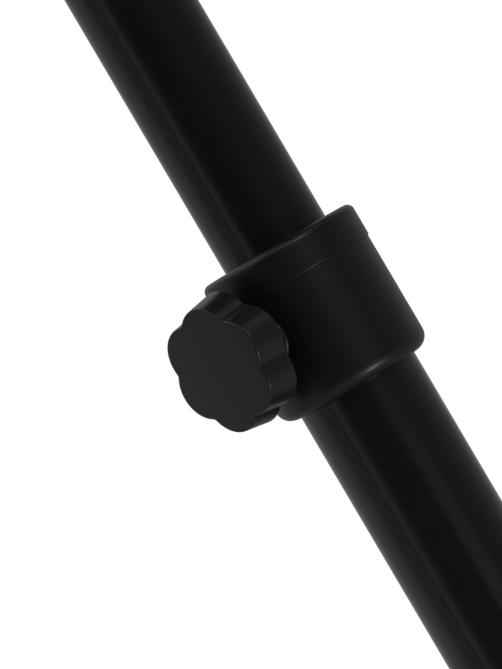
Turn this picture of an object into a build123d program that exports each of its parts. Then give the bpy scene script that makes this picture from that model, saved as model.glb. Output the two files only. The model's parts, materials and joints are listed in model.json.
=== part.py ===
"""Orchestra music stand: folding tripod base, telescoping mast with a collar clamp, tilting perforated desk.

Units are millimetres. +Z is up, the mast's axis is the Z axis and the floor is z = 0. The player
stands on the -Y side. Each piece is written to parts/NODE.step at its place in the assembled stand.
"""
from build123d import *
import math
import os

UP = (Align.CENTER, Align.CENTER, Align.MIN)

# ---- fits ------------------------------------------------------------------------------------
RUNNING = 0.05          # radial clearance of a shaft that turns or slides in a hole
SEATED = 0.02           # radial clearance of a piece that is fixed in its seat
FACE_GAP = 0.05         # gap between two faces that rub
PAD_GAP = 0.15          # gap between a clamp pad and the tube that it bears on

# ---- mast ------------------------------------------------------------------------------------
UPPER_R = 11.0
UPPER_WALL = 1.0
TUBE_PLAY = 0.3         # radial gap between the two tubes
LOWER_WALL = 1.2
LOWER_R = UPPER_R + TUBE_PLAY + LOWER_WALL
LOWER_LENGTH = 562.0
UPPER_LENGTH = 580.0
EXTENSION = 262.0       # length of the upper tube that stands out of the height clamp
GLIDE_FLANGE = 7.0      # height of the glide's flange below the upper tube
GLIDE_SPIGOT = 18.0     # length of the glide's spigot inside the upper tube
GLIDE_BORE = 6.0

# ---- clamp screws and knobs, the same on both clamps -------------------------------------------
STUD_R = 2.95
PITCH = 1.0
INSERT_R = 4.5
INSERT_BACK = 1.6       # distance from the tube to the brass insert's inner end
BOSS_R = 5.6
BOSS_REACH = 9.4        # distance from the tube to the boss's outer face
PAD_R = 2.85
PAD_THICK = 2.2
KNOB_STANDOFF = 11.5    # distance from the tube to the back of the knob's lobes
KNOB_THICK = 6.8
KNOB_TIP_R = 12.3       # over the lobes, at the face
KNOB_VALLEY_R = 10.75   # at the valleys, at the face
KNOB_FLARE = 1.3        # how much wider the lobes are at the back than at the face
KNOB_LOBES = 6
KNOB_VALLEY_FILLET = 0.9
KNOB_EDGE = 0.55        # rounding of the face's edge
KNOB_HUB_R = 6.4
STUD_IN_KNOB = 4.6      # length of stud that is moulded into the knob

# ---- height clamp ------------------------------------------------------------------------------
CLAMP_WALL = 3.65       # round the lower tube
CLAMP_R = LOWER_R + CLAMP_WALL
CLAMP_BODY = 23.4       # height of the collar without its cap
CLAMP_SOCKET = 9.0      # how far the lower tube stands in the collar
CLAMP_KNOB_RISE = 15.9  # height of the screw above the collar's bottom
CLAMP_BOTTOM_ROUND = 3.0
CLAMP_AZIMUTH = 180.0
CLAMP_KNOB_TURN = -15.0  # how far a lobe of the knob stands off straight up
CAP_R = CLAMP_R + 0.25
CAP_HEIGHT = 7.2
CAP_ROUND = 1.5
CAP_SPIGOT_R = CLAMP_R - 2.35
CAP_SPIGOT = 2.2
COLLAR_SCREW_R = 1.5
COLLAR_SCREW_HEAD_R = 3.0
COLLAR_SCREW_HEAD = 1.6
COLLAR_SCREW_RISE = 4.5

# ---- tripod base -------------------------------------------------------------------------------
LEG_AZIMUTHS = (90.0, 210.0, 330.0)
LEG_SPREAD = 62.0       # angle between an open leg and the mast
LEG_FOLDED = 4.0        # the same angle when the base is folded
LEG_LENGTH = 300.0      # from the leg's top pivot to the floor end of its axis
LEG_R = 8.0
LEG_WALL = 1.2
LEG_FLAT_THICK = 4.0    # thickness of the squashed end
LEG_FLAT = 32.0         # length of the squashed end below its pivot
LEG_BLEND = 16.0        # length over which the tube becomes flat
BRACE_LENGTH = 125.0    # between its pivots; the leg's top pivot is as far from the brace's
BRACE_THICK = 2.0
BRACE_WIDTH = 13.0
PIN_R = 2.5
PIN_HEAD_R = 4.6
PIN_HEAD = 1.6
FOOT_AXIS_HEIGHT = 7.0  # height of the leg's axis at LEG_LENGTH
FOOT_R = 10.5
FOOT_LENGTH = 34.0
FOOT_BEYOND = 4.0       # how far the rubber foot reaches beyond LEG_LENGTH
FOOT_SOLE = 12.0        # thickness of rubber beyond the leg tube's end
FOOT_ROUND = 1.5
STRAP_CLEAR = 0.3       # between a brace strap and what stands between the two straps
HUB_R = LOWER_R + 4.5
HUB_BELOW = 6.0         # how far the hub reaches below the lower tube
HUB_HEIGHT = 40.0
HUB_LUG_R = 7.0
HUB_PIVOT_RISE = 14.5   # height of the hub's pivots above the lower tube's bottom end
HUB_SCREW_R = 2.5
HUB_SCREW_HEAD_R = 4.6
HUB_SCREW_HEAD = 3.0
PLUG_LENGTH = 24.0
LEG_COLLAR_R = LOWER_R + 4.7
PIVOT_R = LEG_COLLAR_R + LEG_R + 1.8  # from the mast's axis to the hub's and the leg collar's pivots
LEG_COLLAR_HEIGHT = 38.0
LEG_COLLAR_RISE = 14.0  # how far the leg collar reaches above its pivots
LEG_COLLAR_AZIMUTH = 150.0
CHEEK_THICK = 4.6
CHEEK_SLOT = 6.4
CHEEK_R = 7.0
EYELET_WALL = 0.6
EYELET_FLANGE_R = 4.2

# ---- head and tilt -----------------------------------------------------------------------------
TILT_REST = 22.0        # how far the desk leans back from upright
HEAD_RISE = 26.0        # height of the tilt axis above the upper tube's top end
HEAD_FLANGE = 4.0
HEAD_FLANGE_R = UPPER_R + 1.2
HEAD_SPIGOT = 30.0
HEAD_PIN_R = 2.0
HEAD_PIN_DROP = 12.0
LUG_R = 12.0
LUG_WIDTH = 20.0
FRICTION_WASHER_R = 10.5
FRICTION_WASHER = 1.0
BOLT_R = 3.95
BOLT_HEAD_R = 8.0
BOLT_HEAD = 5.0
TILT_WASHER_R = 9.5
TILT_WASHER = 1.6
TILT_PITCH = 1.25
TILT_KNOB_TIP_R = 17.0
TILT_KNOB_VALLEY_R = 14.6
TILT_KNOB_THICK = 10.0
TILT_KNOB_HUB_R = 9.0
TILT_KNOB_HUB = 4.0
TILT_INSERT_R = 6.2
TILT_INSERT = 11.0

# ---- desk --------------------------------------------------------------------------------------
DESK_WIDTH = 500.0
DESK_ABOVE = 190.0      # from the tilt axis to the desk's top edge, along the desk
DESK_BELOW = 150.0      # from the tilt axis to the ledge's bend
DESK_GAP = 24.0         # from the tilt axis to the back of the desk's sheet
SHEET = 1.0
FLANGE = 11.0           # depth of the folded edges at the back
DESK_CORNER = 22.0
EDGE_BEND = 2.5
LEDGE_DEPTH = 52.0
LEDGE_BEND = 3.0
LIP_HEIGHT = 14.0
LIP_CORNER = 8.0
HOLE_R = 6.0
HOLE_PITCH = 38.0
HOLE_MARGIN = 40.0      # least distance from a hole's centre to the desk's edge
BRACKET_WIDTH = 74.0
BRACKET_HEIGHT = 84.0
BRACKET_PLATE = 2.5
BRACKET_CORNER = 8.0
BRACKET_CLEAR = 8.0     # between the bracket's outline and the nearest hole's edge
CHEEK_PLATE = 2.8
CHEEK_HALF = 30.0       # half height of a cheek where it meets the bracket's plate
CHEEK_EYE_R = 12.5
RIVET_R = 2.0
RIVET_HEAD_R = 4.2
RIVET_HEAD = 1.2
RIVET_X = 27.0
RIVET_V = 32.0

# ---- worked out from the above -----------------------------------------------------------------
LOWER_IN = LOWER_R - LOWER_WALL
UPPER_IN = UPPER_R - UPPER_WALL
SPREAD = math.radians(LEG_SPREAD)
LEG_TOP_Z = FOOT_AXIS_HEIGHT + LEG_LENGTH * math.cos(SPREAD)
HUB_PIVOT_Z = LEG_TOP_Z - 2 * BRACE_LENGTH * math.cos(SPREAD)
LOWER_BOTTOM = HUB_PIVOT_Z - HUB_PIVOT_RISE
LOWER_TOP = LOWER_BOTTOM + LOWER_LENGTH
CLAMP_Z = LOWER_TOP - CLAMP_SOCKET
CLAMP_TOP = CLAMP_Z + CLAMP_BODY + CAP_HEIGHT
CLAMP_SCREW_Z = CLAMP_Z + CLAMP_KNOB_RISE
UPPER_TOP = CLAMP_TOP + EXTENSION
UPPER_BOTTOM = UPPER_TOP - UPPER_LENGTH
TILT_Z = UPPER_TOP + HEAD_RISE
STRAP_IN = LEG_R + STRAP_CLEAR
STRAP_OUT = STRAP_IN + BRACE_THICK
CHEEK_OUT = CHEEK_SLOT / 2 + CHEEK_THICK
WASHER_IN = LUG_WIDTH / 2 + FACE_GAP
CHEEK_PLATE_IN = WASHER_IN + FRICTION_WASHER + FACE_GAP
CHEEK_PLATE_OUT = CHEEK_PLATE_IN + CHEEK_PLATE
HOLE_COLUMNS = int((DESK_WIDTH - 2 * HOLE_MARGIN) / HOLE_PITCH) + 1
HOLE_ROWS = int((DESK_ABOVE + DESK_BELOW - 2 * HOLE_MARGIN) / HOLE_PITCH) + 1
HOLE_CENTRE_RISE = (DESK_ABOVE - DESK_BELOW) / 2
DESK_FRONT = -DESK_GAP - SHEET


# ---- shared shapes -----------------------------------------------------------------------------
def ring(outer_r, inner_r, height, z=0.0):
    """A round tube or washer standing on height z."""
    return Pos(0, 0, z) * (Cylinder(outer_r, height, align=UP) - Cylinder(inner_r, height, align=UP))


def rod(radius, start, end):
    """A solid round rod on the Z axis between two heights."""
    return Pos(0, 0, start) * Cylinder(radius, end - start, align=UP)


def radial(azimuth, z):
    """Turns a shape's +Z axis to point away from the mast at an azimuth, with its +X axis up."""
    a = math.radians(azimuth)
    return Plane(origin=(0, 0, z), x_dir=(0, 0, 1), z_dir=(math.cos(a), math.sin(a), 0)).location


def across_y(radius, half_length):
    """A solid rod along the Y axis, centred on the origin."""
    return Rot(90, 0, 0) * Cylinder(radius, 2 * half_length)


def along_x(shape, x):
    """Lays a shape that stands on z = 0 along +X, standing on x."""
    return Pos(x, 0, 0) * Rot(0, 90, 0) * shape


def rivet(radius, grip, head_r, head):
    """A rivet on the Z axis whose grip is centred on the origin, with a domed head at each end."""
    body = Cylinder(radius, grip)
    for side in (0, 180):
        dome = Rot(side, 0, 0) * Pos(0, 0, grip / 2) * Cylinder(head_r, head, align=UP)
        rim = dome.edges().filter_by(GeomType.CIRCLE).sort_by(lambda e: abs(e.center().Z))[-1]
        body += fillet(rim, 0.7 * head)
    return body


def stub_rivet(radius, grip, head_r, head):
    """A rivet's outer half: a shank of the grip's length from z = 0, and a domed head beyond it."""
    body = Cylinder(radius, grip, align=UP)
    dome = Pos(0, 0, grip) * Cylinder(head_r, head, align=UP)
    rim = dome.edges().filter_by(GeomType.CIRCLE).sort_by(Axis.Z)[-1]
    return body + fillet(rim, 0.7 * head)


def lobed_face(tip_r, valley_r):
    """A flower outline: equal round lobes whose circles cross at the valleys, with the valleys filleted."""
    half = math.pi / KNOB_LOBES
    near = valley_r * math.cos(half)
    side = valley_r * math.sin(half)
    centre = (tip_r**2 - near**2 - side**2) / (2 * (tip_r - near))
    flower = RegularPolygon(centre, KNOB_LOBES)
    for place in PolarLocations(centre, KNOB_LOBES):
        flower += place * Circle(tip_r - centre)
    valleys = flower.vertices().filter_by(lambda v: abs(v.center().length - valley_r) < 0.05)
    return fillet(valleys, KNOB_VALLEY_FILLET)


def lobed_knob(tip_r, valley_r, thick, flare, hub_r, hub, bore_r, bore_depth):
    """A lobed knob whose lobes stand on z = 0 and narrow to the face, with a round hub below z = 0."""
    back = lobed_face(tip_r + flare, valley_r + flare)
    face = lobed_face(tip_r, valley_r)
    body = loft([back.face(), (Pos(0, 0, thick) * face).face()], ruled=True)
    rim = body.faces().sort_by(Axis.Z)[-1].edges()
    body = chamfer(rim, KNOB_EDGE)
    body += Pos(0, 0, -hub) * Cylinder(hub_r, hub + thick / 2, align=UP)
    return body - Pos(0, 0, -hub) * Cylinder(bore_r, bore_depth, align=UP)


# ---- clamp screw set ---------------------------------------------------------------------------
def clamp_pad(tube_r):
    return rod(PAD_R, tube_r + PAD_GAP, tube_r + PAD_GAP + PAD_THICK)


def clamp_insert(tube_r):
    return ring(INSERT_R, STUD_R + 2 * RUNNING, BOSS_REACH - INSERT_BACK, tube_r + INSERT_BACK)


def clamp_stud(tube_r):
    tip = tube_r + PAD_GAP + PAD_THICK + FACE_GAP
    end = tube_r + KNOB_STANDOFF + STUD_IN_KNOB
    body = rod(STUD_R, tip, end)
    return chamfer(body.edges().sort_by(Axis.Z)[0], 0.5)


def clamp_knob(tube_r, turn=0.0):
    hub = KNOB_STANDOFF - BOSS_REACH - FACE_GAP
    knob = lobed_knob(KNOB_TIP_R, KNOB_VALLEY_R, KNOB_THICK, KNOB_FLARE, KNOB_HUB_R, hub,
                      STUD_R + SEATED, hub + STUD_IN_KNOB)
    return Pos(0, 0, tube_r + KNOB_STANDOFF) * Rot(0, 0, turn) * knob


def clamp_boss(tube_r):
    """The solid boss that holds the insert, from the mast's axis out."""
    return Cylinder(BOSS_R, tube_r + BOSS_REACH, align=UP)


def clamp_seat(tube_r):
    """What is cut from a collar for its insert and its pad."""
    seat = rod(INSERT_R + SEATED, tube_r + INSERT_BACK, tube_r + BOSS_REACH + 1)
    return seat + Cylinder(STUD_R + 2 * RUNNING, tube_r + INSERT_BACK, align=UP)


# ---- mast --------------------------------------------------------------------------------------
def collar_screw_place():
    return radial(CLAMP_AZIMUTH + 180, CLAMP_Z + COLLAR_SCREW_RISE)


def lower_tube():
    tube = ring(LOWER_R, LOWER_IN, LOWER_LENGTH, LOWER_BOTTOM)
    return tube - collar_screw_place() * Cylinder(COLLAR_SCREW_R + SEATED, LOWER_R + 1, align=UP)


def clamp_collar():
    """The moulded sleeve on top of the lower tube: a socket, a screw boss and a seat for the cap."""
    body = rod(CLAMP_R, 0, CLAMP_BODY)
    body = fillet(body.edges().sort_by(Axis.Z)[0], CLAMP_BOTTOM_ROUND)
    body = Pos(0, 0, CLAMP_Z) * body + radial(CLAMP_AZIMUTH, CLAMP_SCREW_Z) * clamp_boss(UPPER_R)
    top = CLAMP_Z + CLAMP_BODY
    body -= rod(LOWER_R + SEATED, CLAMP_Z, LOWER_TOP)
    body -= rod(UPPER_R + 3 * RUNNING, LOWER_TOP, top)
    body -= rod(CAP_SPIGOT_R + SEATED, top - CAP_SPIGOT - FACE_GAP, top)
    body -= radial(CLAMP_AZIMUTH, CLAMP_SCREW_Z) * clamp_seat(UPPER_R)
    return body - collar_screw_place() * Cylinder(COLLAR_SCREW_R + SEATED, CLAMP_R + 1, align=UP)


def collar_cap():
    """The guide ring that closes the collar's top, with a short spigot inside the collar."""
    flange = rod(CAP_R, 0, CAP_HEIGHT)
    flange = fillet(flange.edges().sort_by(Axis.Z)[-1], CAP_ROUND)
    cap = flange + rod(CAP_SPIGOT_R, -CAP_SPIGOT, 0)
    cap -= rod(UPPER_R + RUNNING, -CAP_SPIGOT, CAP_HEIGHT)
    return Pos(0, 0, CLAMP_Z + CLAMP_BODY) * cap


def collar_screw():
    body = rod(COLLAR_SCREW_R, LOWER_IN, CLAMP_R + COLLAR_SCREW_HEAD)
    head = rod(COLLAR_SCREW_HEAD_R, CLAMP_R, CLAMP_R + COLLAR_SCREW_HEAD)
    head = fillet(head.edges().sort_by(Axis.Z)[-1], 0.6 * COLLAR_SCREW_HEAD)
    return collar_screw_place() * (body + head)


def glide_bush():
    """The nylon foot of the upper tube: a flange that slides in the lower tube and a spigot."""
    body = rod(LOWER_IN - RUNNING, -GLIDE_FLANGE, -FACE_GAP)
    body += rod(UPPER_IN - RUNNING, -FACE_GAP, GLIDE_SPIGOT)
    body -= rod(GLIDE_BORE, -GLIDE_FLANGE, GLIDE_SPIGOT)
    return Pos(0, 0, UPPER_BOTTOM) * body


def upper_tube():
    tube = ring(UPPER_R, UPPER_IN, UPPER_LENGTH, UPPER_BOTTOM)
    return tube - Pos(0, 0, UPPER_TOP - HEAD_PIN_DROP) * across_y(HEAD_PIN_R + SEATED, UPPER_R + 1)


# ---- tripod base -------------------------------------------------------------------------------
def foot_hub():
    """The moulded hub on the lower tube's bottom end, with a lug for each pair of brace straps."""
    low = LOWER_BOTTOM - HUB_BELOW
    hub = rod(HUB_R, low, low + HUB_HEIGHT)
    hub = fillet(hub.edges().filter_by(GeomType.CIRCLE), 1.5)
    for azimuth in LEG_AZIMUTHS:
        lug = Pos(PIVOT_R, 0, HUB_PIVOT_Z) * across_y(HUB_LUG_R, LEG_R)
        lug += Pos(PIVOT_R / 2, 0, HUB_PIVOT_Z) * Box(PIVOT_R, 2 * LEG_R, 2 * HUB_LUG_R)
        lug -= Pos(PIVOT_R, 0, HUB_PIVOT_Z) * across_y(PIN_R + SEATED, LEG_R + 1)
        hub += Rot(0, 0, azimuth) * lug
    hub -= rod(LOWER_R + SEATED, LOWER_BOTTOM, low + HUB_HEIGHT + 1)
    hub -= rod(HUB_SCREW_R + 2 * RUNNING, low - 1, LOWER_BOTTOM)
    return hub - rod(HUB_SCREW_HEAD_R + 4 * RUNNING, low, low + HUB_SCREW_HEAD)


def hub_screw():
    low = LOWER_BOTTOM - HUB_BELOW
    head = rod(HUB_SCREW_HEAD_R, low, low + HUB_SCREW_HEAD - FACE_GAP)
    head -= Pos(0, 0, low) * extrude(RegularPolygon(2.3, 6), 1.8)
    return head + rod(HUB_SCREW_R, low + HUB_SCREW_HEAD - FACE_GAP, LOWER_BOTTOM + PLUG_LENGTH - 4)


def tube_plug():
    plug = rod(LOWER_IN - SEATED, LOWER_BOTTOM + FACE_GAP, LOWER_BOTTOM + PLUG_LENGTH)
    return plug - rod(HUB_SCREW_R + SEATED, LOWER_BOTTOM, LOWER_BOTTOM + PLUG_LENGTH)


def hub_pins():
    """The three rivets on which the braces turn at the hub."""
    grip = 2 * (STRAP_OUT + FACE_GAP)
    one = Pos(PIVOT_R, 0, HUB_PIVOT_Z) * Rot(90, 0, 0) * rivet(PIN_R, grip, PIN_HEAD_R, PIN_HEAD)
    return [Rot(0, 0, azimuth) * one for azimuth in LEG_AZIMUTHS]


def brace_place():
    """The brace's frame at azimuth 0: origin at the hub's pivot, +Z along the brace."""
    return Plane(origin=(PIVOT_R, 0, HUB_PIVOT_Z), x_dir=(math.cos(SPREAD), 0, -math.sin(SPREAD)),
                 z_dir=(math.sin(SPREAD), 0, math.cos(SPREAD))).location


def brace_straps():
    """Two flat straps, one each side of the leg, with round ends."""
    strap = Box(BRACE_WIDTH, BRACE_THICK, BRACE_LENGTH, align=UP)
    for z in (0, BRACE_LENGTH):
        strap += Pos(0, 0, z) * across_y(BRACE_WIDTH / 2, BRACE_THICK / 2)
    for z in (0, BRACE_LENGTH):
        strap -= Pos(0, 0, z) * across_y(PIN_R + RUNNING, BRACE_THICK)
    offset_y = STRAP_IN + BRACE_THICK / 2
    return [brace_place() * Pos(0, side * offset_y, 0) * strap for side in (-1, 1)]


def brace_rivet():
    """The rivet through the leg and the outer ends of its two straps."""
    grip = 2 * (STRAP_OUT + FACE_GAP)
    one = rivet(PIN_R, grip, PIN_HEAD_R, PIN_HEAD)
    return brace_place() * Pos(0, 0, BRACE_LENGTH) * Rot(90, 0, 0) * one


def leg_place():
    """The leg's frame at azimuth 0: origin at its top pivot, +Z down the leg, thin way along Y."""
    return Plane(origin=(PIVOT_R, 0, LEG_TOP_Z), x_dir=(math.cos(SPREAD), 0, math.sin(SPREAD)),
                 z_dir=(math.sin(SPREAD), 0, -math.cos(SPREAD))).location


def leg():
    """A round tube with its top end squashed flat and drilled for the pivot."""
    oval = Ellipse(LEG_R, LEG_FLAT_THICK / 2)
    flat = extrude(oval, LEG_FLAT)
    tip = extrude(oval, -LEG_R) & across_y(LEG_R, LEG_R)
    blend = loft([(Pos(0, 0, LEG_FLAT) * oval).face(), (Pos(0, 0, LEG_FLAT + LEG_BLEND) * Circle(LEG_R)).face()])
    start = LEG_FLAT + LEG_BLEND
    end = LEG_LENGTH + FOOT_BEYOND - FOOT_SOLE
    body = flat + tip + blend + ring(LEG_R, LEG_R - LEG_WALL, end - start, start)
    body -= across_y(PIN_R + RUNNING + SEATED, LEG_R)
    body -= Pos(0, 0, BRACE_LENGTH) * across_y(PIN_R + RUNNING, LEG_R + 1)
    return leg_place() * body


def leg_eyelet():
    """The flanged eyelet that lines the leg's top hole."""
    inside = PIN_R + RUNNING - EYELET_WALL
    total = LEG_FLAT_THICK + 2 * EYELET_WALL
    eyelet = Cylinder(PIN_R + RUNNING, total)
    for side in (-1, 1):
        eyelet += Pos(0, 0, side * (total - EYELET_WALL + FACE_GAP) / 2) * Cylinder(EYELET_FLANGE_R, EYELET_WALL)
    return leg_place() * Rot(90, 0, 0) * (eyelet - Cylinder(inside, 2 * total))


def foot():
    """The rubber foot on the leg's end, cut flat where it stands on the floor."""
    start = LEG_LENGTH + FOOT_BEYOND - FOOT_LENGTH
    body = rod(FOOT_R, start, LEG_LENGTH + FOOT_BEYOND)
    body = fillet(body.edges().filter_by(GeomType.CIRCLE), FOOT_ROUND)
    body -= rod(LEG_R + SEATED, start, LEG_LENGTH + FOOT_BEYOND - FOOT_SOLE + FACE_GAP)
    below = Box(4 * LEG_LENGTH, 4 * LEG_LENGTH, 50, align=(Align.CENTER, Align.CENTER, Align.MAX))
    return leg_place() * body - below


def leg_collar():
    """The sliding collar: a barrel on the lower tube with a pair of cheeks for each leg's end."""
    barrel = rod(LEG_COLLAR_R, LEG_TOP_Z + LEG_COLLAR_RISE - LEG_COLLAR_HEIGHT, LEG_TOP_Z + LEG_COLLAR_RISE)
    barrel = fillet(barrel.edges().filter_by(GeomType.CIRCLE), 1.8)
    barrel += radial(LEG_COLLAR_AZIMUTH, LEG_TOP_Z) * clamp_boss(LOWER_R)
    for azimuth in LEG_AZIMUTHS:
        pivot = Pos(PIVOT_R, 0, LEG_TOP_Z)
        cheek = pivot * across_y(CHEEK_R, CHEEK_OUT)
        cheek += Pos(PIVOT_R / 2, 0, LEG_TOP_Z) * Box(PIVOT_R, 2 * CHEEK_OUT, 2 * CHEEK_R)
        cheek -= pivot * across_y(PIN_R + SEATED, CHEEK_OUT + 1)
        slot_start = LEG_COLLAR_R
        slot = Pos(slot_start, 0, LEG_TOP_Z) * Box(30, CHEEK_SLOT, 60, align=(Align.MIN, Align.CENTER, Align.CENTER))
        barrel += Rot(0, 0, azimuth) * (cheek - slot)
    barrel -= rod(LOWER_R + RUNNING + SEATED, 0, 2 * LEG_TOP_Z)
    return barrel - radial(LEG_COLLAR_AZIMUTH, LEG_TOP_Z) * clamp_seat(LOWER_R)


def leg_collar_rivets():
    """The pivot rivets' outer halves, one in each cheek; none crosses the slot where the leg's end moves."""
    half = stub_rivet(PIN_R, CHEEK_THICK - FACE_GAP, PIN_HEAD_R, PIN_HEAD)
    out = []
    for azimuth in LEG_AZIMUTHS:
        for side in (-90, 90):
            start = CHEEK_SLOT / 2 + 2 * FACE_GAP
            place = Pos(PIVOT_R, 0, LEG_TOP_Z) * Rot(side, 0, 0) * Pos(0, 0, start)
            out.append(Rot(0, 0, azimuth) * place * half)
    return out


# ---- head and tilt, all placed with the tilt axis along X ------------------------------------------
def head_block():
    """The moulded block in the upper tube's top end, with a round lug on the tilt axis."""
    spigot = rod(UPPER_IN - SEATED, UPPER_TOP - HEAD_SPIGOT, UPPER_TOP)
    flange = rod(HEAD_FLANGE_R, UPPER_TOP + FACE_GAP, UPPER_TOP + HEAD_FLANGE)
    flange = fillet(flange.edges().filter_by(GeomType.CIRCLE), 1.0)
    neck = Pos(0, 0, UPPER_TOP) * Box(LUG_WIDTH, 2 * UPPER_IN, HEAD_RISE, align=UP)
    neck = fillet(neck.edges().filter_by(Axis.Z), 3.0)
    lug = Pos(0, 0, TILT_Z) * along_x(Cylinder(LUG_R, LUG_WIDTH), 0)
    body = spigot + flange + neck + lug
    body -= Pos(0, 0, TILT_Z) * along_x(Cylinder(BOLT_R + 2 * RUNNING, 2 * LUG_WIDTH), 0)
    return body - Pos(0, 0, UPPER_TOP - HEAD_PIN_DROP) * across_y(HEAD_PIN_R + SEATED, UPPER_R)


def head_pin():
    pin = across_y(HEAD_PIN_R, UPPER_R - 0.2)
    return Pos(0, 0, UPPER_TOP - HEAD_PIN_DROP) * chamfer(pin.edges().filter_by(GeomType.CIRCLE), 0.3)


def friction_washers():
    washer = ring(FRICTION_WASHER_R, BOLT_R + 3 * RUNNING, FRICTION_WASHER)
    places = (WASHER_IN, -WASHER_IN - FRICTION_WASHER)
    return [Pos(0, 0, TILT_Z) * along_x(washer, x) for x in places]


def tilt_washer():
    washer = ring(TILT_WASHER_R, BOLT_R + 2 * RUNNING, TILT_WASHER)
    return Pos(0, 0, TILT_Z) * along_x(washer, CHEEK_PLATE_OUT + FACE_GAP)


def tilt_knob_start():
    return CHEEK_PLATE_OUT + FACE_GAP + TILT_WASHER + FACE_GAP + TILT_KNOB_HUB


def tilt_knob():
    knob = lobed_knob(TILT_KNOB_TIP_R, TILT_KNOB_VALLEY_R, TILT_KNOB_THICK, KNOB_FLARE, TILT_KNOB_HUB_R,
                      TILT_KNOB_HUB, TILT_INSERT_R + SEATED, TILT_INSERT)
    return Pos(0, 0, TILT_Z) * along_x(knob, tilt_knob_start())


def tilt_knob_insert():
    insert = ring(TILT_INSERT_R, BOLT_R + 2 * RUNNING, TILT_INSERT - FACE_GAP)
    return Pos(0, 0, TILT_Z) * along_x(insert, tilt_knob_start() - TILT_KNOB_HUB)


def tilt_bolt():
    """The hex-headed bolt on the tilt axis."""
    end = tilt_knob_start() - TILT_KNOB_HUB + TILT_INSERT - 1.0
    start = -CHEEK_PLATE_OUT - FACE_GAP
    shank = along_x(Cylinder(BOLT_R, end - start, align=UP), start)
    head = along_x(extrude(RegularPolygon(BOLT_HEAD_R, 6), BOLT_HEAD), start - BOLT_HEAD)
    return Pos(0, 0, TILT_Z) * (shank + head)


# ---- desk: local x is the stand's X, local z runs up the desk, local y out of its back -------------
def on_desk(shape):
    """Places a desk shape, drawn upright with the tilt axis at the origin, at its leaning rest."""
    return Pos(0, 0, TILT_Z) * Rot(-TILT_REST, 0, 0) * shape


def edge_pan(inset):
    """The desk's outer block, or the block inside its sheet when inset is the sheet's thickness."""
    width = DESK_WIDTH - 2 * inset
    low = -DESK_BELOW - (1.0 if inset else 0.0)
    height = DESK_ABOVE - inset - low
    block = Pos(0, DESK_FRONT + inset, low) * Box(width, 2 * FLANGE, height, align=(Align.CENTER, Align.MIN, Align.MIN))
    top_corners = block.edges().filter_by(Axis.Y).group_by(Axis.Z)[-1]
    block = fillet(top_corners, DESK_CORNER - inset)
    front = block.faces().sort_by(Axis.Y)[0].edges()
    bottom = front.sort_by(Axis.Z)[0]
    return fillet([e for e in front if e != bottom], EDGE_BEND - inset)


def hole_places():
    """The centres of the desk's round holes, leaving out those that the bracket would cover."""
    clear_x = BRACKET_WIDTH / 2 + BRACKET_CLEAR + HOLE_R
    clear_v = BRACKET_HEIGHT / 2 + BRACKET_CLEAR + HOLE_R
    for i in range(HOLE_COLUMNS):
        for j in range(HOLE_ROWS):
            x = (i - (HOLE_COLUMNS - 1) / 2) * HOLE_PITCH
            v = HOLE_CENTRE_RISE + (j - (HOLE_ROWS - 1) / 2) * HOLE_PITCH
            if abs(x) > clear_x or abs(v) > clear_v:
                yield x, v


def rivet_places():
    return [(sx * RIVET_X, sv * RIVET_V) for sx in (-1, 1) for sv in (-1, 1)]


def desk_plate():
    """One folded sheet: a perforated plate, edges folded back, and a ledge with a lip at the bottom."""
    depth = Pos(0, DESK_FRONT, 0) * Box(2 * DESK_WIDTH, FLANGE, 4 * DESK_ABOVE,
                                        align=(Align.CENTER, Align.MIN, Align.CENTER))
    plate = (edge_pan(0.0) - edge_pan(SHEET)) & depth
    ledge_low = -DESK_BELOW - LEDGE_BEND - SHEET
    lip_top = -DESK_BELOW - LEDGE_BEND + LIP_HEIGHT
    front_align = (Align.CENTER, Align.MIN, Align.MIN)
    trough = Pos(0, DESK_FRONT - LEDGE_DEPTH, ledge_low) * Box(
        DESK_WIDTH, LEDGE_DEPTH + SHEET, lip_top - ledge_low, align=front_align)
    trough = fillet(trough.edges().filter_by(Axis.X).group_by(Axis.Z)[0], LEDGE_BEND + SHEET)
    inside = Pos(0, DESK_FRONT - LEDGE_DEPTH + SHEET, ledge_low + SHEET) * Box(
        2 * DESK_WIDTH, LEDGE_DEPTH - SHEET, 2 * LIP_HEIGHT, align=front_align)
    inside = fillet(inside.edges().filter_by(Axis.X).group_by(Axis.Z)[0], LEDGE_BEND)
    ledge = trough - inside
    lip_ends = ledge.edges().filter_by(Axis.Y).group_by(Axis.Y)[0].group_by(Axis.Z)[-1]
    ledge = fillet(lip_ends, LIP_CORNER)
    desk = plate + ledge
    holes = [Pos(x, DESK_FRONT, v) * across_y(HOLE_R, FLANGE) for x, v in hole_places()]
    holes += [Pos(x, DESK_FRONT, v) * across_y(RIVET_R + SEATED, FLANGE) for x, v in rivet_places()]
    return on_desk(desk - holes)


def desk_bracket():
    """The steel bracket riveted to the desk's back, with a cheek each side of the head's lug."""
    plate_y = -DESK_GAP + SEATED
    plate = Pos(0, plate_y, 0) * Box(BRACKET_WIDTH, BRACKET_PLATE, BRACKET_HEIGHT,
                                     align=(Align.CENTER, Align.MIN, Align.CENTER))
    plate = fillet(plate.edges().filter_by(Axis.Y), BRACKET_CORNER)
    root_y = plate_y + BRACKET_PLATE / 2
    outline = Circle(CHEEK_EYE_R)
    for side in (-1, 1):
        outline += Pos(root_y, side * CHEEK_HALF) * Circle(0.5)
    cheek = Plane.YZ.location * extrude(make_hull(outline.edges()), CHEEK_PLATE)
    body = plate
    for x in (CHEEK_PLATE_IN, -CHEEK_PLATE_OUT):
        body += Pos(x, 0, 0) * cheek
    body -= along_x(Cylinder(BOLT_R + RUNNING, 4 * CHEEK_PLATE_OUT), 0)
    for x, v in rivet_places():
        body -= Pos(x, plate_y, v) * across_y(RIVET_R + SEATED, 2 * BRACKET_PLATE)
    return on_desk(body)


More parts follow.
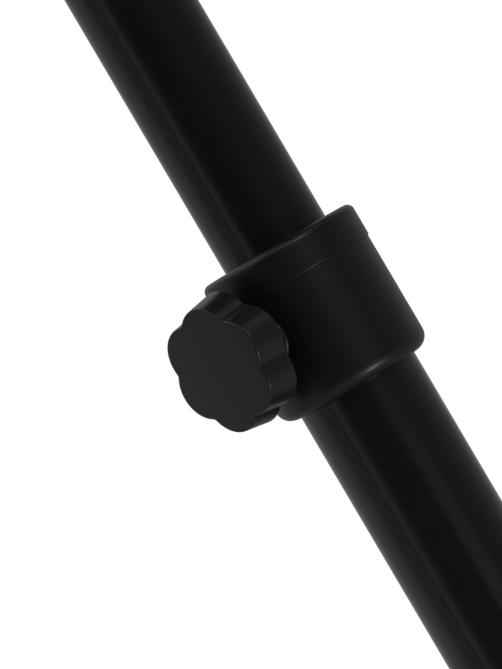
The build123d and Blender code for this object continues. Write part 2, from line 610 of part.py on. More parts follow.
def desk_rivets():
    grip = SHEET + BRACKET_PLATE + 2 * SEATED
    middle = DESK_FRONT + grip / 2 - SEATED / 2
    one = Rot(90, 0, 0) * rivet(RIVET_R, grip, RIVET_HEAD_R, RIVET_HEAD)
    return [on_desk(Pos(x, middle, v) * one) for x, v in rivet_places()]


# ---- what is written ---------------------------------------------------------------------------
def write(name, shape):
    """Writes one node; a list of shapes becomes a group of separate solids."""
    solids = shape if isinstance(shape, list) else [shape]
    solids = [s for piece in solids for s in piece.solids()]
    export_step(solids[0] if len(solids) == 1 else Compound(children=solids), f"parts/{name}.step")


def main():
    os.makedirs("parts", exist_ok=True)
    height = radial(CLAMP_AZIMUTH, CLAMP_SCREW_Z)
    legs = radial(LEG_COLLAR_AZIMUTH, LEG_TOP_Z)
    nodes = {
        "lower_tube": lower_tube(),
        "clamp_collar": clamp_collar(),
        "collar_cap": collar_cap(),
        "collar_screw": collar_screw(),
        "clamp_insert": height * clamp_insert(UPPER_R),
        "clamp_pad": height * clamp_pad(UPPER_R),
        "clamp_stud": height * clamp_stud(UPPER_R),
        "clamp_knob": height * clamp_knob(UPPER_R, CLAMP_KNOB_TURN),
        "glide_bush": glide_bush(),
        "upper_tube": upper_tube(),
        "foot_hub": foot_hub(),
        "hub_screw": hub_screw(),
        "hub_pins": hub_pins(),
        "tube_plug": tube_plug(),
        "leg_collar": leg_collar(),
        "leg_collar_rivets": leg_collar_rivets(),
        "leg_clamp_insert": legs * clamp_insert(LOWER_R),
        "leg_clamp_pad": legs * clamp_pad(LOWER_R),
        "leg_clamp_stud": legs * clamp_stud(LOWER_R),
        "leg_clamp_knob": legs * clamp_knob(LOWER_R),
        "head_block": head_block(),
        "head_pin": head_pin(),
        "friction_washers": friction_washers(),
        "tilt_bolt": tilt_bolt(),
        "tilt_washer": tilt_washer(),
        "tilt_knob": tilt_knob(),
        "tilt_knob_insert": tilt_knob_insert(),
        "desk_plate": desk_plate(),
        "desk_bracket": desk_bracket(),
        "desk_rivets": desk_rivets(),
    }
    for number, azimuth in enumerate(LEG_AZIMUTHS, start=1):
        turn = Rot(0, 0, azimuth)
        nodes[f"leg_{number}"] = turn * leg()
        nodes[f"leg_{number}_eyelet"] = turn * leg_eyelet()
        nodes[f"foot_{number}"] = turn * foot()
        nodes[f"brace_{number}"] = [turn * strap for strap in brace_straps()]
        nodes[f"brace_{number}_rivet"] = turn * brace_rivet()
    for name, shape in nodes.items():
        write(name, shape)


main()
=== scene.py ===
"""Looks of the music stand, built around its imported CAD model. Lengths are in metres.

The mast's axis is the Z axis, the floor is z = 0 and the player stands on the -Y side. New pieces are
surfaces worked out as whole arrays: a profile turned about an axis, or a section carried along a line.
"""
import bpy
import bmesh
import json
import math
import numpy as np
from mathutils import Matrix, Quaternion, Vector


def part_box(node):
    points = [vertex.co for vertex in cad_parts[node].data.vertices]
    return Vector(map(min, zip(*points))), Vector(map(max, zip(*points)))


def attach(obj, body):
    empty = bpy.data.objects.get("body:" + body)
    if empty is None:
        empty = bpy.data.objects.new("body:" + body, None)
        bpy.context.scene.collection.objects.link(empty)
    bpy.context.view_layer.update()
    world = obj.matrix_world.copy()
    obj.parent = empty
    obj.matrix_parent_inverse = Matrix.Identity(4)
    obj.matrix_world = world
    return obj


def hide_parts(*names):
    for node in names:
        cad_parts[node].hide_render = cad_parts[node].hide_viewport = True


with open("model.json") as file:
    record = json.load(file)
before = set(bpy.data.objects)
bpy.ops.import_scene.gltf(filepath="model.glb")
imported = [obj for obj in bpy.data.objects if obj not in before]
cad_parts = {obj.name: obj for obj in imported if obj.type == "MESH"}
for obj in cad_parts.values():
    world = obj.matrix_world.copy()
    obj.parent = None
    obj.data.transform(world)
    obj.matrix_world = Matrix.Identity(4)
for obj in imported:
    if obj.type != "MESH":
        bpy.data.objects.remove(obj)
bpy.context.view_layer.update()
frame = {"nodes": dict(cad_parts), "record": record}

MM = 0.001
TURN_STEPS = 128          # faces round a turned piece
ARC_STEPS = 7             # faces along a rounded corner

# ---- sizes of the shown pieces ---------------------------------------------------------------
LOWER_R = 12.5 * MM
LOWER_WALL = 1.2 * MM
UPPER_WALL = 1.0 * MM
RIM_SHARE = 0.4           # rounding of a tube's rim, as a share of its wall

COLLAR_BORE_R = 12.52 * MM
COLLAR_ROUND = 3.0 * MM   # rounding of the collar's lower edge
COLLAR_BREAK = 0.1 * MM   # rounding of its upper edge, under the cap ring
CAP_BORE_R = 11.05 * MM
CAP_ROUND = 1.5 * MM
CAP_BREAK = 0.35 * MM     # rounding of the ring's lower edge
BOSS_R = 5.6 * MM
BOSS_BORE_R = 4.5 * MM
BOSS_BORE_DEPTH = 6.0 * MM
BOSS_FLARE = 0.5 * MM
BOSS_EDGE = 0.4 * MM
BOSS_SINK = 0.03 * MM     # how far the boss's foot goes into the sleeve
SUPPORT = 0.1 * MM        # distance of a supporting ring from the edge that it keeps sharp

KNOB_DEPTH = 6.8 * MM      # from the CAD knob's face to the back of its lobes
KNOB_STANDOFF = 11.5 * MM  # from the lower tube to the back of the leg knob's lobes
KNOB_FLARE = 0.9 * MM      # how much wider the lobes are at the back than at the face
KNOB_EDGE = 0.4 * MM
KNOB_CROWN = 0.3 * MM      # how much the face rises from the lobes to its centre
KNOB_TURN = -15.0          # how far the height knob's lobes stand off straight up, in degrees
SMALL_KNOB = dict(tip=12.35 * MM, valley=10.6 * MM, thick=6.9 * MM, hub_radius=6.4 * MM, hub=2.0 * MM)
LARGE_KNOB = dict(tip=17.0 * MM, valley=14.6 * MM, thick=10.0 * MM, hub_radius=9.0 * MM, hub=4.0 * MM)

LEG_AZIMUTHS = (90.0, 210.0, 330.0)
LEG_COLLAR_AZIMUTH = 150.0
LEG_R = 8.0 * MM
LEG_FLAT_HALF = 2.0 * MM  # half the thickness of the pressed end
LEG_FLAT = 32.0 * MM      # where the pressed end starts to open out
LEG_BLEND = 16.0 * MM
LEG_END = 292.0 * MM      # where the tube ends, inside the foot
FOOT_START = 270.0 * MM
FOOT_TIP = 304.0 * MM
FOOT_R = 10.5 * MM
FOOT_BORE_R = 8.05 * MM
FOOT_MOUTH = 1.2 * MM     # rounding of the foot's upper edge
FOOT_ROUND = 3.0 * MM     # rounding of its tip
FOOT_GROOVES = (6.0 * MM, 11.0 * MM, 16.0 * MM)
GROOVE_DEPTH = 0.7 * MM
GROOVE_WIDTH = 0.8 * MM

# ---- the view and the studio -----------------------------------------------------------------
VIEW_AZIMUTH = 317.0      # where the camera stands, from the -Y side towards +X
VIEW_ELEVATION = 0.7
VIEW_ROLL = 30.5
VIEW_DISTANCE = 0.50
VIEW_LENS = 141.3
SENSOR = 36.0
AIM_LEFT = 12.66 * MM     # the view's centre, to the left of the mast's axis
AIM_RISE = 18.4 * MM      # the view's centre, above the clamp collar's bottom

ROOM_LEVEL = 0.062        # brightness between the panels
CEILING_LEVEL = 0.55
CEILING_FADE = (0.35, 0.9)  # sines of the elevations over which the ceiling brightens
LOW_FADE = (0.035, -0.24)   # the same for the panel that stands below the clamp
SURROUND_LEVEL = 1.05     # what the camera sees behind everything
FLOOR_R = 2.2
FLOOR_FADE_START = 0.9


def azimuth_vector(degrees):
    """The horizontal unit vector at an azimuth counted from +X towards +Y."""
    a = math.radians(degrees)
    return np.array([math.cos(a), math.sin(a), 0.0])


def low_high(node):
    lo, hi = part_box(node)
    return np.array(lo), np.array(hi)


def middle(node):
    lo, hi = low_high(node)
    return (lo + hi) / 2


def frame_of(origin, axis, up):
    """A 3 x 4 frame whose Z column is axis and whose X column is up made square to it."""
    z = np.array(axis, float)
    z /= np.linalg.norm(z)
    x = np.array(up, float) - np.dot(up, z) * z
    x /= np.linalg.norm(x)
    return np.column_stack([x, np.cross(z, x), z, np.array(origin, float)])


def placed(points, place):
    """Local points moved into a 3 x 4 frame."""
    return points @ place[:, :3].T + place[:, 3]


# ---- surfaces --------------------------------------------------------------------------------
def rounded(corners, radii):
    """A closed outline whose corners become arcs of the given radii, each arc tangent to both its sides.

    A corner at angle a between its sides is replaced by an arc of radius r that starts r / tan(a / 2)
    from it. A point is added just before and just after each arc, so that flats shade flat.
    """
    corners = np.array(corners, float)
    out = []
    for i, corner in enumerate(corners):
        before = corners[i - 1] - corner
        after = corners[(i + 1) % len(corners)] - corner
        before_unit = before / np.linalg.norm(before)
        after_unit = after / np.linalg.norm(after)
        half = math.acos(np.clip(np.dot(before_unit, after_unit), -1, 1)) / 2
        radius = radii[i]
        reach = radius / math.tan(half)
        centre = corner + (before_unit + after_unit) / (2 * math.cos(half)) * radius / math.sin(half)
        start = corner + before_unit * reach - centre
        end = corner + after_unit * reach - centre
        t = np.linspace(0, 1, ARC_STEPS + 1)[:, None]
        sweep = math.pi - 2 * half
        arc = (np.sin((1 - t) * sweep) * start + np.sin(t * sweep) * end) / math.sin(sweep)
        support = 0.12 * radius
        out.append((centre + start + before_unit * support)[None, :])
        out.append(centre + arc)
        out.append((centre + end + after_unit * support)[None, :])
    return np.vstack(out)


def turned(outline, steps=TURN_STEPS):
    """An outline of (radius, height) points turned a full circle about Z: x = r cos a, y = r sin a, z = h."""
    a = np.linspace(0, 2 * math.pi, steps, endpoint=False)[:, None]
    radius = outline[None, :, 0]
    x = radius * np.cos(a)
    y = radius * np.sin(a)
    z = np.broadcast_to(outline[None, :, 1], x.shape)
    return np.stack([x, y, z], axis=-1)


def grid_faces(rows, columns, wrap_rows, wrap_columns):
    """Quads between neighbouring points of a grid, wrapping round where asked."""
    i = np.arange(rows if wrap_rows else rows - 1)
    j = np.arange(columns if wrap_columns else columns - 1)
    i, j = (g.ravel() for g in np.meshgrid(i, j, indexing="ij"))
    i_next = (i + 1) % rows
    j_next = (j + 1) % columns
    here = i * columns
    there = i_next * columns
    return np.stack([here + j, there + j, there + j_next, here + j_next], axis=1)


class Shape:
    """Grids of points gathered into one mesh."""

    def __init__(self):
        self.points = []
        self.faces = []
        self.count = 0

    def add(self, grid, wrap_rows=True, wrap_columns=True, place=None):
        points = grid.reshape(-1, 3)
        if place is not None:
            points = placed(points, place)
        self.faces.append(grid_faces(grid.shape[0], grid.shape[1], wrap_rows, wrap_columns) + self.count)
        self.points.append(points)
        self.count += len(points)
        return self

    def make(self, name, body, slot, material, replaced=(), crease=40.0):
        """The finished piece: doubles merged, faces turned outwards, smooth except at sharp edges."""
        mesh = bpy.data.meshes.new(name)
        mesh.from_pydata(np.vstack(self.points), [], np.vstack(self.faces).tolist())
        edit = bmesh.new()
        edit.from_mesh(mesh)
        bmesh.ops.remove_doubles(edit, verts=edit.verts, dist=1e-7)
        bmesh.ops.dissolve_degenerate(edit, edges=edit.edges, dist=1e-7)
        bmesh.ops.recalc_face_normals(edit, faces=edit.faces)
        edit.to_mesh(mesh)
        edit.free()
        return finish_piece(mesh, name, body, material, replaced, crease)


def finish_piece(mesh, name, body, material, replaced, crease):
    mesh.shade_smooth()
    mesh.set_sharp_from_angle(angle=math.radians(crease))
    mesh.materials.clear()
    mesh.materials.append(material)
    piece = bpy.data.objects.new(name, mesh)
    bpy.context.scene.collection.objects.link(piece)
    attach(piece, body)
    if replaced:
        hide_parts(*replaced)
    return piece


def softened(node, name, body, material, width, crease=30.0):
    """A copy of a CAD node with its edges rounded over by a bevel of the given width."""
    mesh = frame["nodes"][node].data.copy()
    edit = bmesh.new()
    edit.from_mesh(mesh)
    bmesh.ops.remove_doubles(edit, verts=edit.verts, dist=2e-6)
    bmesh.ops.dissolve_limit(edit, angle_limit=math.radians(0.5), verts=edit.verts, edges=edit.edges)
    edit.to_mesh(mesh)
    edit.free()
    piece = finish_piece(mesh, name, body, material, (node,), crease)
    bevel = piece.modifiers.new("edges", "BEVEL")
    bevel.width = width
    bevel.segments = 3
    bevel.limit_method = "ANGLE"
    bevel.angle_limit = math.radians(crease)
    flats = piece.modifiers.new("flats", "WEIGHTED_NORMAL")
    flats.keep_sharp = True
    return piece


# ---- node groups and materials ---------------------------------------------------------------
def new_group(name, inputs, outputs):
    """A shader node group with named sockets; inputs are (name, type, default)."""
    group = bpy.data.node_groups.new(name, "ShaderNodeTree")
    for socket_name, kind, value in inputs:
        socket = group.interface.new_socket(socket_name, in_out="INPUT", socket_type=kind)
        if value is not None:
            socket.default_value = value
    for socket_name, kind in outputs:
        group.interface.new_socket(socket_name, in_out="OUTPUT", socket_type=kind)
    return group


def add_node(tree, kind, **settings):
    """A node with its settings; a setting named in_N is the default of input N."""
    node = tree.nodes.new(kind)
    for key, value in settings.items():
        if key.startswith("in_"):
            socket = key[3:]
            node.inputs[int(socket) if socket.isdigit() else socket].default_value = value
        else:
            setattr(node, key, value)
    return node


def link(tree, source, target):
    tree.links.new(source, target)


def noise(tree, vector, scale, detail, roughness=0.5):
    node = add_node(tree, "ShaderNodeTexNoise", in_Scale=scale, in_Detail=detail, in_Roughness=roughness)
    link(tree, vector, node.inputs["Vector"])
    return node


def mapped(tree, value, low, high, to_low, to_high):
    """A value carried from one range to another and held inside it."""
    node = add_node(tree, "ShaderNodeMapRange", in_1=low, in_2=high, in_3=to_low, in_4=to_high)
    link(tree, value, node.inputs[0])
    return node.outputs[0]


def mixed(tree, factor, first, second):
    """A colour between two colours; each is a socket or a plain colour."""
    node = add_node(tree, "ShaderNodeMix", data_type="RGBA")
    link(tree, factor, node.inputs[0])
    for socket, value in ((node.inputs[6], first), (node.inputs[7], second)):
        if hasattr(value, "is_linked"):
            link(tree, value, socket)
        else:
            socket.default_value = (*value, 1.0)
    return node.outputs[2]


def math_node(tree, operation, *values):
    node = add_node(tree, "ShaderNodeMath", operation=operation)
    for i, value in enumerate(values):
        if hasattr(value, "is_linked"):
            link(tree, value, node.inputs[i])
        else:
            node.inputs[i].default_value = value
    return node.outputs[0]


def build_relief_group():
    """Surface relief: a fine grain and a long soft ripple, as a normal."""
    group = new_group("relief", [
        ("Vector", "NodeSocketVector", None), ("Grain scale", "NodeSocketFloat", 2000.0),
        ("Grain depth", "NodeSocketFloat", 0.00001), ("Ripple scale", "NodeSocketFloat", 200.0),
        ("Ripple depth", "NodeSocketFloat", 0.00001)], [("Normal", "NodeSocketVector")])
    inside = add_node(group, "NodeGroupInput").outputs
    grain = add_node(group, "ShaderNodeTexNoise", in_Detail=2.0)
    ripple = add_node(group, "ShaderNodeTexNoise", in_Detail=1.0)
    for texture, scale in ((grain, "Grain scale"), (ripple, "Ripple scale")):
        link(group, inside["Vector"], texture.inputs["Vector"])
        link(group, inside[scale], texture.inputs["Scale"])
    small = math_node(group, "MULTIPLY", grain.outputs[0], inside["Grain depth"])
    large = math_node(group, "MULTIPLY", ripple.outputs[0], inside["Ripple depth"])
    bump = add_node(group, "ShaderNodeBump", in_Strength=1.0, in_Distance=1.0)
    link(group, math_node(group, "ADD", small, large), bump.inputs["Height"])
    link(group, bump.outputs[0], add_node(group, "NodeGroupOutput").inputs["Normal"])
    return group


def build_wear_group():
    """Where a surface is handled or dusty: an edge mask, a mottling value and a dust mask that looks up."""
    group = new_group("wear", [
        ("Vector", "NodeSocketVector", None), ("Mottle scale", "NodeSocketFloat", 60.0),
        ("Edge start", "NodeSocketFloat", 0.52), ("Dust", "NodeSocketFloat", 0.2)],
        [("Edge", "NodeSocketFloat"), ("Mottle", "NodeSocketFloat"), ("Dust", "NodeSocketFloat")])
    inside = add_node(group, "NodeGroupInput").outputs
    outside = add_node(group, "NodeGroupOutput").inputs
    geometry = add_node(group, "ShaderNodeNewGeometry")
    mottle = add_node(group, "ShaderNodeTexNoise", in_Detail=5.0, in_Roughness=0.6)
    link(group, inside["Vector"], mottle.inputs["Vector"])
    link(group, inside["Mottle scale"], mottle.inputs["Scale"])
    past_edge = math_node(group, "SUBTRACT", geometry.outputs["Pointiness"], inside["Edge start"])
    edge = math_node(group, "MULTIPLY", mapped(group, past_edge, 0.0, 0.08, 0.0, 1.0), mottle.outputs[0])
    link(group, edge, outside["Edge"])
    link(group, mottle.outputs[0], outside["Mottle"])
    split = add_node(group, "ShaderNodeSeparateXYZ")
    link(group, geometry.outputs["Normal"], split.inputs[0])
    speck = noise(group, inside["Vector"], 900.0, 3.0, 0.7)
    lying = math_node(group, "MULTIPLY", mapped(group, split.outputs[2], 0.2, 1.0, 0.0, 1.0),
                      mapped(group, speck.outputs[0], 0.45, 0.75, 0.0, 1.0))
    link(group, math_node(group, "MULTIPLY", lying, inside["Dust"]), outside["Dust"])
    return group


relief_group = build_relief_group()
wear_group = build_wear_group()
DUST_COLOUR = (0.32, 0.30, 0.27)


def finish_material(name, colour, light_colour, roughness, rough_spread, grain, ripple, dust=0.12,
                    metallic=0.0, mottle_scale=60.0, specular=0.5, edge_colour=None):
    """A surface whose colour and roughness vary softly, with grain, ripple, worn edges and a trace of dust.

    grain and ripple are (scale, depth) pairs; colour runs to light_colour with the mottling.
    """
    material = bpy.data.materials.new(name)
    material.use_nodes = True
    tree = material.node_tree
    shader = tree.nodes["Principled BSDF"]
    place = add_node(tree, "ShaderNodeTexCoord").outputs["Object"]
    wear = add_node(tree, "ShaderNodeGroup", node_tree=wear_group)
    link(tree, place, wear.inputs["Vector"])
    wear.inputs["Mottle scale"].default_value = mottle_scale
    wear.inputs["Dust"].default_value = dust
    relief = add_node(tree, "ShaderNodeGroup", node_tree=relief_group)
    link(tree, place, relief.inputs["Vector"])
    labels = ("Grain scale", "Grain depth", "Ripple scale", "Ripple depth")
    for label, value in zip(labels, (*grain, *ripple)):
        relief.inputs[label].default_value = value
    tone = mixed(tree, wear.outputs["Mottle"], colour, light_colour)
    tone = mixed(tree, wear.outputs["Edge"], tone, edge_colour or light_colour)
    tone = mixed(tree, wear.outputs["Dust"], tone, DUST_COLOUR)
    link(tree, tone, shader.inputs["Base Color"])
    rough = mapped(tree, wear.outputs["Mottle"], 0.3, 0.7, roughness - rough_spread, roughness + rough_spread)
    rough = math_node(tree, "ADD", rough, math_node(tree, "MULTIPLY", wear.outputs["Dust"], 0.5))
    link(tree, rough, shader.inputs["Roughness"])
    link(tree, relief.outputs["Normal"], shader.inputs["Normal"])
    shader.inputs["Metallic"].default_value = metallic
    shader.inputs["Specular IOR Level"].default_value = specular
    return material


enamel = finish_material("black_enamel", (0.0048, 0.0048, 0.0047), (0.0062, 0.0062, 0.006), 0.11, 0.02,
                         grain=(1400.0, 0.4e-6), ripple=(260.0, 1.0e-6), dust=0.03, mottle_scale=40.0)
moulded = finish_material("moulded_nylon", (0.0026, 0.0026, 0.0026), (0.0036, 0.0036, 0.0035), 0.36, 0.03,
                          grain=(2600.0, 5.0e-6), ripple=(180.0, 6.0e-6), dust=0.05, mottle_scale=80.0)
knob_plastic = finish_material("knob_plastic", (0.0065, 0.0065, 0.0066), (0.009, 0.009, 0.0088), 0.30,
                               0.03, grain=(2600.0, 3.0e-6), ripple=(160.0, 9.0e-6), dust=0.04,
                               mottle_scale=90.0)
powder_coat = finish_material("powder_coat", (0.008, 0.008, 0.0082), (0.013, 0.013, 0.013), 0.42, 0.04,
                              grain=(1500.0, 3.0e-5), ripple=(420.0, 2.0e-5), dust=0.06, mottle_scale=30.0)
rubber = finish_material("rubber", (0.011, 0.011, 0.011), (0.02, 0.02, 0.019), 0.62, 0.06,
                         grain=(1800.0, 3.0e-5), ripple=(240.0, 2.0e-5), dust=0.18, mottle_scale=120.0,
                         specular=0.35)
zinc = finish_material("zinc_plate", (0.50, 0.51, 0.53), (0.62, 0.62, 0.62), 0.27, 0.06,
                       grain=(2200.0, 6.0e-6), ripple=(500.0, 6.0e-6), dust=0.02, metallic=1.0,
                       mottle_scale=220.0)
black_oxide = finish_material("black_oxide", (0.012, 0.012, 0.013), (0.025, 0.024, 0.024), 0.32, 0.06,
                              grain=(2200.0, 6.0e-6), ripple=(500.0, 6.0e-6), dust=0.04, metallic=0.6,
                              mottle_scale=200.0, edge_colour=(0.12, 0.12, 0.12))
brass = finish_material("turned_brass", (0.62, 0.42, 0.15), (0.75, 0.55, 0.24), 0.25, 0.05,
                        grain=(2600.0, 4.0e-6), ripple=(600.0, 5.0e-6), dust=0.02, metallic=1.0,
                        mottle_scale=260.0)
nylon = finish_material("natural_nylon", (0.62, 0.60, 0.54), (0.72, 0.70, 0.64), 0.45, 0.05,
                        grain=(2000.0, 6.0e-6), ripple=(300.0, 8.0e-6), dust=0.05, mottle_scale=150.0)
FINISHES = {"black_enamel": enamel, "moulded_black": moulded, "knob_black": knob_plastic,
            "black_powder_coat": powder_coat, "black_rubber": rubber, "zinc_steel": zinc,
            "black_rivet": black_oxide, "brass_insert": brass, "white_nylon": nylon}


def paint_frame():
    """Gives every CAD node that stays the material of its slot."""
    for entry in frame["record"]["subparts"]:
        node = frame["nodes"][entry["node"]]
        node.data.materials.clear()
        node.data.materials.append(FINISHES[entry["material_slot"]])


# CAD nodes shown with their edges rounded over: node, body and the width of the bevel
SOFTENED = [("desk_plate", "desk", 0.25 * MM), ("desk_bracket", "desk", 0.4 * MM),
            ("head_block", "upper_mast", 0.6 * MM), ("foot_hub", "root", 0.6 * MM),
            ("leg_collar", "leg_slider", 0.5 * MM)]
SOFTENED += [(f"brace_{n}", f"brace_arm_{n}", 0.3 * MM) for n in (1, 2, 3)]
slot_of = {entry["node"]: entry["material_slot"] for entry in frame["record"]["subparts"]}


# ---- the camera ------------------------------------------------------------------------------
def make_camera():
    """A long lens near the height clamp, rolled so that the mast leans across the view."""
    a = math.radians(VIEW_AZIMUTH)
    e = math.radians(VIEW_ELEVATION)
    back = Vector((math.sin(a) * math.cos(e), -math.cos(a) * math.cos(e), math.sin(e)))
    right = Vector((math.cos(a), math.sin(a), 0.0))
    clamp_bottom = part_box("clamp_collar")[0].z
    aim = Vector((0.0, 0.0, clamp_bottom + AIM_RISE)) - AIM_LEFT * right
    camera = bpy.data.objects.new("camera", bpy.data.cameras.new("camera"))
    bpy.context.scene.collection.objects.link(camera)
    camera.data.lens = VIEW_LENS
    camera.data.sensor_width = SENSOR
    camera.data.clip_start = 0.01
    camera.rotation_mode = "QUATERNION"
    level = (-back).to_track_quat("-Z", "Y")
    camera.rotation_quaternion = level @ Quaternion((0.0, 0.0, 1.0), math.radians(-VIEW_ROLL))
    camera.location = aim + back * VIEW_DISTANCE
    bpy.context.scene.camera = camera


# ---- pieces ----------------------------------------------------------------------------------
def make_tube(node, body, wall):
    """A drawn tube: a rectangle of wall section turned about Z, its rims rounded over."""
    lo, hi = low_high(node)
    outer = (hi[1] - lo[1]) / 2
    inner = outer - wall
    rim = RIM_SHARE * wall
    outline = rounded([(inner, lo[2]), (outer, lo[2]), (outer, hi[2]), (inner, hi[2])], [rim] * 4)
    Shape().add(turned(outline)).make(node + "_skin", body, "black_enamel", enamel, (node,))


def make_clamp_collar():
    """The clamp's sleeve turned about Z, and its screw boss turned about the screw's axis.

    The boss flares where it meets the sleeve: its last rings lie on the sleeve's own cylinder.
    """
    lo, hi = low_high("clamp_collar")
    outer = (hi[1] - lo[1]) / 2
    inner = COLLAR_BORE_R
    outline = rounded([(inner, lo[2]), (outer, lo[2]), (outer, hi[2]), (inner, hi[2])],
                      [0.5 * MM, COLLAR_ROUND, COLLAR_BREAK, 0.2 * MM])
    shape = Shape().add(turned(outline))
    add_boss(shape, outer, frame_of([0, 0, middle("clamp_knob")[2]], [-1, 0, 0], [0, 0, 1]), -lo[0])
    shape.make("clamp_collar_shell", "root", "moulded_black", moulded, ("clamp_collar",))


def add_boss(shape, sleeve, place, face):
    """A round boss with its outer face at distance face and its foot flared onto a sleeve of radius sleeve.

    In the boss's own frame the axis is Z. The side runs down at radius r, and over the last stretch
    the radius grows by a quarter circle while the height falls to the sleeve, z = sqrt(sleeve^2 - y^2).
    """
    rim = BOSS_R - BOSS_EDGE
    a = np.linspace(0, 2 * math.pi, 96, endpoint=False)[:, None]
    t = np.linspace(0, math.pi / 2, ARC_STEPS + 1)
    ring = np.concatenate([[BOSS_BORE_R, BOSS_BORE_R, BOSS_BORE_R + SUPPORT, rim - SUPPORT],
                           rim + BOSS_EDGE * np.sin(t), [BOSS_R], BOSS_R + BOSS_FLARE * (1 - np.cos(t))])
    share = np.concatenate([np.zeros(len(ring) - len(t)), np.sin(t)])
    top = np.concatenate([[face - BOSS_BORE_DEPTH, face - SUPPORT, face, face],
                          face - BOSS_EDGE * (1 - np.cos(t)), [face - BOSS_EDGE - SUPPORT],
                          np.zeros(len(t))])
    x = ring[None, :] * np.cos(a)
    y = ring[None, :] * np.sin(a)
    floor = np.sqrt(np.maximum(sleeve**2 - y**2, 0.0)) - BOSS_SINK
    foot = floor + BOSS_FLARE * (1 - share[None, :])
    z = np.where(np.arange(len(ring))[None, :] >= len(ring) - len(t), foot, top[None, :])
    shape.add(np.stack([x, y, z], axis=-1), wrap_columns=False, place=place)


def make_collar_cap():
    """The cap ring turned about Z, its top edge rounded over and its lower edge just broken."""
    lo, hi = low_high("collar_cap")
    outer = (hi[1] - lo[1]) / 2
    inner = CAP_BORE_R
    seat = low_high("clamp_collar")[1][2]
    outline = rounded([(inner, seat), (outer, seat), (outer, hi[2]), (inner, hi[2])],
                      [0.2 * MM, CAP_BREAK, CAP_ROUND, 0.3 * MM])
    Shape().add(turned(outline)).make("collar_cap_ring", "root", "moulded_black", moulded, ("collar_cap",))


def lobed_radius(angle, tip, valley, lobes=6, fillet=0.03):
    """Distance from the centre to a flower outline, at each angle, with a lobe at angle 0.

    Within half a lobe of its middle, the outline is a circle of radius tip - c whose centre is c away
    on the lobe's middle line, so r = c cos d + sqrt((tip - c)^2 - (c sin d)^2), where d is the angle
    from that line. Near a valley d levels off, which fillets the valley.
    """
    half = math.pi / lobes
    from_valley = np.abs((angle / (2 * half)) % 1.0 - 0.5) * 2 * half
    eased = np.sqrt(from_valley**2 + fillet**2)
    eased = eased * half / math.sqrt(half**2 + fillet**2)
    d = half - eased
    near = valley * math.cos(half)
    side = valley * math.sin(half)
    c = (tip**2 - near**2 - side**2) / (2 * (tip - near))
    return c * np.cos(d) + np.sqrt((tip - c)**2 - (c * np.sin(d))**2)


def knob_surface(tip, valley, thick, hub_radius, hub, turn):
    """A lobed knob with its face at z = thick and the back of its lobes at z = 0.

    Each ring of points is the flower outline scaled or widened. Going from the centre of the face:
    the face falls by crown (r / tip)^2 at a distance r from its centre, then come a quarter circle of
    radius edge, the side widening by the flare down to the back, a second quarter circle, and the hub.
    """
    a = np.linspace(0, 2 * math.pi, 288, endpoint=False)[:, None]
    outline = lobed_radius(a - math.radians(turn), tip, valley)
    k = np.linspace(0, 1, 14)[None, :] ** 0.8
    t = np.linspace(0, math.pi / 2, ARC_STEPS + 1)[None, 1:]
    rows = []
    face_edge = outline - KNOB_EDGE
    rows.append((face_edge * k, thick - KNOB_CROWN * (face_edge * k / tip)**2))
    top = thick - KNOB_CROWN * (face_edge / tip)**2
    rows.append((face_edge + KNOB_EDGE * np.sin(t), top - KNOB_EDGE * (1 - np.cos(t)) * np.ones_like(a)))
    s = np.linspace(0, 1, 6)[None, 1:]
    low = 0.5 * KNOB_EDGE
    rows.append((outline + KNOB_FLARE * s, (top - KNOB_EDGE) + (low - (top - KNOB_EDGE)) * s))
    rows.append((outline + KNOB_FLARE - low * (1 - np.cos(t)), low * (1 - np.sin(t)) * np.ones_like(a)))
    back = outline + KNOB_FLARE - low
    rows.append((back + (hub_radius - back) * np.linspace(0, 1, 5)[None, 1:], np.zeros((len(a), 4))))
    rows.append((hub_radius * np.ones((len(a), 2)), np.ones_like(a) * np.array([[-0.1 * hub, -hub]])))
    rows.append((hub_radius * np.ones_like(a) * np.array([[0.5, 0.0]]), -hub * np.ones((len(a), 2))))
    radius = np.concatenate([np.broadcast_to(r, (len(a), r.shape[1])) for r, z in rows], axis=1)
    height = np.concatenate([np.broadcast_to(z, (len(a), z.shape[1])) for r, z in rows], axis=1)
    return np.stack([radius * np.cos(a), radius * np.sin(a), height], axis=-1)


def make_knob(node, body, place, turn, sizes):
    shape = Shape().add(knob_surface(turn=turn, **sizes), wrap_columns=False, place=place)
    shape.make(node + "_body", body, "knob_black", knob_plastic, (node,))


def make_knobs():
    """The height knob, the leg collar's knob and the larger tilt knob."""
    up = [0, 0, 1]
    back = [low_high("clamp_knob")[0][0] + KNOB_DEPTH, 0, middle("clamp_knob")[2]]
    make_knob("clamp_knob", "height_knob", frame_of(back, [-1, 0, 0], up), KNOB_TURN, SMALL_KNOB)
    out = azimuth_vector(LEG_COLLAR_AZIMUTH)
    back = (LOWER_R + KNOB_STANDOFF) * out + [0, 0, middle("leg_clamp_knob")[2]]
    make_knob("leg_clamp_knob", "leg_knob", frame_of(back, out, up), 0.0, SMALL_KNOB)
    face = low_high("tilt_knob")[1][0]
    back = [face - LARGE_KNOB["thick"], 0, middle("tilt_knob")[2]]
    make_knob("tilt_knob", "tilt_handle", frame_of(back, [1, 0, 0], up), 0.0, LARGE_KNOB)


def leg_frame(n, azimuth):
    """A leg's own frame: Z runs down the leg from its upper pivot, and Y is the thin way."""
    pivot = middle(f"leg_{n}_eyelet")
    return frame_of(pivot, middle(f"brace_{n}_rivet") - pivot, azimuth_vector(azimuth))


